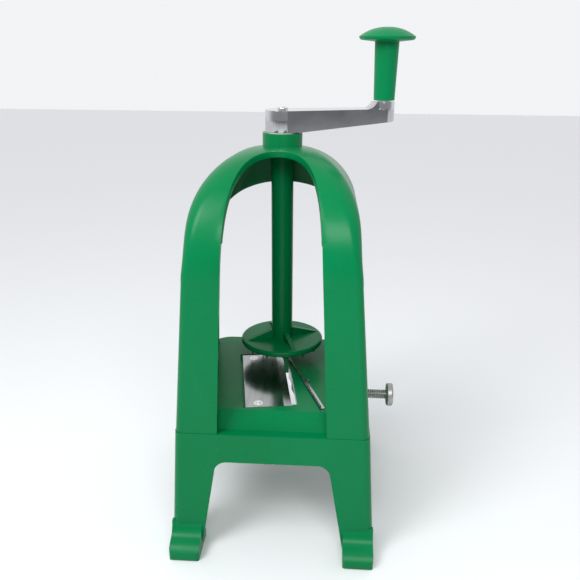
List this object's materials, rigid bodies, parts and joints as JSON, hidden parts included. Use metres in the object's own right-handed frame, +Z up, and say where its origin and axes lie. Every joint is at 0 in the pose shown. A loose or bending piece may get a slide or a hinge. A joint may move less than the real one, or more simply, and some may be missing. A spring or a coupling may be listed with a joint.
{
  "type": "vegetable dicer",
  "caption": "Crank-turned upright vegetable dicer: arched hood on a four-legged base, pusher disc over a straight blade and a clamped comb blade.",
  "frame": {"origin": "on the crank shaft's axis, at the height the four feet stand on", "axes": "+X to the side the clamp screw is on, +Y to the back, +Z up along the crank shaft"},
  "size_m": [0.1529, 0.1558, 0.3298],
  "materials": {
    "green_plastic": "glossy moulded ABS",
    "pusher_plastic": "glossy moulded ABS, slightly worn",
    "knob_plastic": "glossy moulded ABS",
    "crank_metal": "polished casting",
    "bright_steel": "plated screws and washers",
    "rod_steel": "drawn bar",
    "blade_steel": "mirror-ground stainless",
    "comb_steel": "stamped stainless",
    "clamp_steel": "dull zinc plate",
    "nylon": "natural nylon",
    "brass": "turned"
  },
  "bodies": {
    "frame": {"base": "green_plastic", "hood": "green_plastic", "frame_screws": "bright_steel", "straight_blade": "blade_steel", "blade_screws": "bright_steel", "blade_inserts": "brass", "clamp_nut": "clamp_steel"},
    "lifter": {"thrust_washer": "nylon"},
    "crank": {"plunger": "pusher_plastic", "core_rod": "rod_steel", "crank_arm": "crank_metal", "crank_lock_washer": "bright_steel", "crank_screw": "bright_steel", "knob_washer": "bright_steel", "knob_spindle": "rod_steel"},
    "knob": {"knob_sleeve": "knob_plastic", "knob_cap": "knob_plastic"},
    "comb": {"comb_blade": "comb_steel", "comb_holder": "comb_steel", "comb_rivets": "comb_steel"},
    "shoe": {"clamp_shoe": "clamp_steel"},
    "thumbscrew": {"clamp_stud": "clamp_steel", "clamp_head": "clamp_steel"}
  },
  "joints": [
    {"name": "plunger_lift", "type": "slide", "parent": "frame", "child": "lifter", "axis": [0, 0, 1], "range_m": [0, 0.105]},
    {"name": "crank_turn", "type": "hinge", "parent": "lifter", "child": "crank", "pos_m": [0, 0, 0.27], "axis": [0, 0, 1], "continuous": true},
    {"name": "knob_spin", "type": "hinge", "parent": "crank", "child": "knob", "pos_m": [0.06694, 0.02047, 0.3], "axis": [0, 0, 1], "continuous": true},
    {"name": "comb_drop", "type": "slide", "parent": "frame", "child": "comb", "axis": [0, 0, -1], "range_m": [0, 0.003]},
    {"name": "clamp_travel", "type": "slide", "parent": "frame", "child": "shoe", "axis": [1, 0, 0], "range_m": [0, 0.0064]},
    {"name": "clamp_turn", "type": "hinge", "parent": "shoe", "child": "thumbscrew", "pos_m": [0.06, -0.038, 0.0926], "axis": [1, 0, 0], "range_deg": [0, 1800]}
  ],
  "couplings": [
    {"joint": "clamp_travel", "follows": "clamp_turn", "m_per_rad": 0.00020213}
  ]
}
